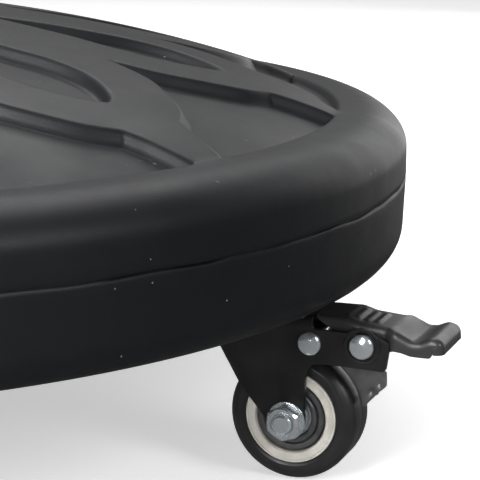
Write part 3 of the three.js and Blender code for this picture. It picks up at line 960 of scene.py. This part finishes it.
def spring_wire():
    """A torsion spring round the pedal's pivot, with both ends reaching towards the crown."""
    x, z = PIVOT_PEDAL
    coil_r, wire_r, turns, half_width = 3.8, 0.95, 5, 5.4
    path = [(x - 13, -5.6, z + 5.6), (x - 6, -5.6, z + 4.4)]
    for k in range(24 * turns + 1):
        a = math.pi / 2 + 2 * math.pi * k / 24
        y = -half_width + 2 * half_width * k / (24 * turns)
        path.append((x + coil_r * math.cos(a), y, z + coil_r * math.sin(a)))
    path += [(x - 6, 5.6, z + 4.4), (x - 13, 5.6, z + 5.6)]
    return swept(path, wire_r)


def rivet(head_r, x, z):
    """Both heads and the shank of a rivet through the fork, its domed head towards -Y."""
    face = LEG_MID + SHEET / 2 + 0.15
    dome = [(head_r * math.cos(t), face + 0.5 + 2.2 * math.sin(t))
            for t in np.linspace(0, math.pi / 2, 12)]
    tail = [(0.0, -face - 2.0), (head_r * 0.55, -face - 1.9), (head_r * 0.8, -face - 1.2),
            (head_r * 0.86, -face)]
    shank = [(2.3, -face), (2.3, face)]
    profile = tail + shank + [(head_r * 0.97, face), (head_r, face + 0.25)] + dome
    return sideways(turned(profile, 48), x, z)


def both_sides(half):
    """A ring profile that is the same on both sides of the wheel's middle."""
    return ring_profile([*half, *[(r, -y, corner) for r, y, corner in reversed(half)]])


def wheel_pieces():
    w = WHEEL_HALF
    # a faint mould line runs round the middle of the tread
    tyre = ring_profile([(18.15, w - 0.5, 0.3), (19.3, w, 0.5), (21.6, w, 2.2),
                         (WHEEL_R, w - 2.6, 4.4), (24.98, 0.5, 0), (WHEEL_R - 0.18, 0, 0),
                         (24.9, -0.5, 0), (WHEEL_R, -w + 2.6, 4.4), (21.6, -w, 2.2),
                         (19.3, -w, 0.5), (18.15, -w + 0.5, 0.3)])
    core = both_sides([(13.8, 10.3, 0.2), (14.3, 11.2, 0.4), (15.1, 10.9, 0.5), (16.8, 10.9, 0.5),
                       (17.3, 11.35, 0.3), (17.9, 10.9, 0.3)])
    shield = both_sides([(7.9, 9.6, 0.2), (8.4, 10.5, 0.4), (9.9, 10.6, 0.4), (10.3, 9.9, 0.2),
                         (10.5, 9.2, 0), (10.7, 9.6, 0.1), (11.2, 10.2, 0.3), (12.8, 10.2, 0.3),
                         (13.3, 9.5, 0.2)])
    race = both_sides([(4.4, 11.7, 0.2), (6.9, 11.7, 0.4), (7.2, 10.9, 0.3), (7.2, 9.4, 0),
                       (7.9, 9.2, 0)])
    rings = [
        ("wheel_tyre", tyre, 112, "tyre", "tyre"),
        ("wheel_ring", core, 96, "wheel_white", "wheel_core"),
        ("bearing_shield", shield, 80, "hub_grey", "bearing"),
        ("bearing_race", race, 64, "zinc", None),
    ]
    return [(name, sideways(turned(profile, steps)), slot, "wheel", slot, node)
            for name, profile, steps, slot, node in rings]


def axle_pieces():
    face = LEG_MID + SHEET / 2 + 0.2
    head = moved(hex_head(6.0, 4.8), lambda x, y, z: (x, y, -face - z))
    bolt = join(head, thread(3.95, -face, face + 7, 1.25))
    flat = 6.2
    wide = flat / math.cos(math.pi / 6)
    heights = [(4.1, 0.8), (wide * 0.96, 0.8), (wide, 1.3), (wide, 3.7), (wide * 0.97, 4.2),
               (wide * 0.92, 4.6), (flat * 0.99, 5.0), (flat * 0.93, 5.35), (flat * 0.84, 5.4),
               (flat * 0.76, 5.3), (flat * 0.74, 4.7), (4.1, 4.6), (4.1, 0.8)]
    body = turned([(r, face + h) for r, h in heights], 96, hexagon(flat))
    nut = join(body, washer(4.2, 7.4, face, face + 0.8))
    return [
        ("axle_screw", sideways(bolt), "zinc", "swivel", "zinc", "axle_bolt"),
        ("lock_nut", sideways(nut), "zinc", "swivel", "zinc", "axle_nut"),
    ]


def swivel_pieces():
    low = 66.4
    high = BASE_Z - 0.3
    race = ring_profile([(6.4, low, 0), (16.5, low, 1), (19, low + 1.2, 2), (20.4, low + 3.6, 2),
                         (20.4, high, 0.6), (6.4, high, 0)])
    stem = rounded([(0, 59, 0), (7.4, 59, 1.2), (9.1, 60.6, 1.5), (9.1, 63.2, 0.4),
                    (6, 63.2, 0), (6, 98, 1), (0, 98, 0)], closed=False)
    return [
        ("swivel_race", turned(race, 80), "black_steel", "base", "black_steel", "race"),
        ("swivel_stem", turned(stem, 48), "zinc", "base", "zinc", "stem"),
    ]


def brake_pieces():
    low, high = LEG_MID + 0.9, LEG_MID + 1.6
    collar = ring_profile([(5.4, low, 0), (7.2, low, 0.3), (7.0, high, 0.3), (5.6, high, 0.3)])
    collar = sideways(turned(collar, 48), *PIVOT_PEDAL)
    return [
        ("shoe_rivet", rivet(4.5, *PIVOT_SHOE), "zinc", "swivel", "zinc", "rivet_shoe"),
        ("pedal_rivet", rivet(4.7, *PIVOT_PEDAL), "zinc", "swivel", "zinc", "rivet_pedal"),
        ("pivot_collar", collar, "black_steel", "swivel", "black_steel", None),
        ("brake_spring", spring_wire(), "black_steel", "swivel", "black_steel", "spring"),
    ]


def build_casters():
    """Makes each piece once and copies it to the four places.

    The *_pieces functions give rows of name, part, finish, body, slot and CAD node, where the
    body and the node lack their caster's prefix.
    """
    shared = []
    for name, part, finish, body, slot, node in wheel_pieces() + axle_pieces() + swivel_pieces():
        shared.append((name, new_object(name, *part, finish), body, slot, node))
    braked = [("fork_brake", build_fork(True), "swivel", "black_steel", "fork")]
    for name, part, finish, body, slot, node in brake_pieces():
        braked.append((name, new_object(name, *part, finish), body, slot, node))
    braked.append(("brake_pedal", build_pedal(), "pedal_body", "black_steel", "pedal"))
    braked.append(("brake_shoe", build_shoe(), "shoe_body", "hub_grey", "shoe"))
    plain = [("fork_plain", build_fork(False), "swivel", "black_steel", "fork")]
    for index, angle, (x, y) in caster_places():
        place = Matrix.Translation((x * MM, y * MM, 0)) @ Matrix.Rotation(angle, 4, "Z")
        for name, source, body, slot, node in shared + (braked if index % 2 else plain):
            piece = source.copy()
            piece.name = f"{name}_{index}"
            bpy.context.scene.collection.objects.link(piece)
            piece.matrix_world = place
            nodes = [f"caster_{index}_{node}"] if node else []
            put(piece, body if body == "base" else f"caster_{index}_{body}", slot, *nodes)
    for _, source, *_ in shared + braked + plain:
        bpy.data.objects.remove(source)


# ---- scene ----
STAGE_R = 6000.0
WORLD_STRENGTH = 0.125
# name, place, what it points at, size (m), power (W)
LIGHTS = [
    ("overhead", (0.1, 0.9, 1.6), (0.0, 0.0, 0.1), 1.6, 24),
    ("front_right", (0.9, -1.3, 0.9), (0.15, -0.15, 0.05), 0.5, 9),
    ("back_right", (1.5, 1.1, 0.5), (0.2, -0.1, 0.1), 1.3, 10),
    ("front_left", (-0.75, -0.75, 0.7), (0.18, -0.13, 0.05), 0.9, 38),
]
CAMERA_PLACE = (0, -0.777437, 0.236478)
CAMERA_YAW, CAMERA_PITCH, CAMERA_ROLL = 0.269, 0.216, 0.019
CAMERA_LENS, CAMERA_SENSOR = 135.2, 36


def stage_piece(name, profile, noise_scale, tones, rough, specular, glow):
    """A pale round piece of the stage, which glows faintly and doesn't show in reflections."""
    n = Nodes(f"pale_{name}")
    low, high = ((tone, tone, tone) for tone in tones)
    tone = n.ramp(n.noise(noise_scale, 2), [(0.3, low), (0.7, high)])
    roughness = n.span(n.noise(noise_scale + 1, 2), *rough)
    n.finish(tone, roughness, None, Specular_IOR_Level=specular, Emission_Strength=glow)
    n.shader.inputs["Emission Color"].default_value = (1, 1, 1, 1)
    FINISH[name] = n.material
    piece = new_object(name, *turned(profile, 96), name)
    piece.visible_glossy = False
    return piece


def build_stage():
    stage_piece("floor", [(0, 0), (STAGE_R, 0)], 2, (0.86, 0.88), (0.7, 0.8), 0.2, 0.5)
    wall = [(STAGE_R - 5, -5), (STAGE_R, STAGE_R)]
    backdrop = stage_piece("backdrop", wall, 1, (0.10, 0.11), (0.9, 1.0), 0.0, 0.9)
    backdrop.visible_diffuse = False
    backdrop.visible_shadow = False


def soft_light(name, place, target, size, power):
    light = bpy.data.lights.new(name, "AREA")
    light.size = size
    light.energy = power
    obj = bpy.data.objects.new(name, light)
    obj.location = place
    obj.rotation_euler = (Vector(target) - Vector(place)).to_track_quat("-Z", "Y").to_euler()
    bpy.context.scene.collection.objects.link(obj)


def build_lights():
    world = bpy.data.worlds.new("studio")
    world.use_nodes = True
    background = world.node_tree.nodes["Background"]
    background.inputs["Color"].default_value = (1, 1, 1, 1)
    background.inputs["Strength"].default_value = WORLD_STRENGTH
    bpy.context.scene.world = world
    for light in LIGHTS:
        soft_light(*light)


def build_camera():
    yaw, pitch, roll = CAMERA_YAW, CAMERA_PITCH, CAMERA_ROLL
    level = math.cos(pitch)
    ahead = Vector((math.sin(yaw) * level, math.cos(yaw) * level, -math.sin(pitch)))
    right = ahead.cross(Vector((0, 0, 1))).normalized()
    up = right.cross(ahead)
    tilted_right = right * math.cos(roll) + up * math.sin(roll)
    tilted_up = up * math.cos(roll) - right * math.sin(roll)
    data = bpy.data.cameras.new("camera")
    data.lens, data.sensor_width = CAMERA_LENS, CAMERA_SENSOR
    data.clip_start, data.clip_end = 0.01, 50
    camera = bpy.data.objects.new("camera", data)
    turn = Matrix((tilted_right, tilted_up, -ahead)).transposed().to_4x4()
    camera.matrix_world = Matrix.Translation(CAMERA_PLACE) @ turn
    bpy.context.scene.collection.objects.link(camera)
    bpy.context.scene.camera = camera


bpy.context.scene.view_settings.view_transform = "Standard"
build_camera()
build_casing()
build_plug()
build_standpipe()
build_clamp()
finish_cad_nodes()
build_casters()
build_stage()
build_lights()

bpy.context.view_layer.update()
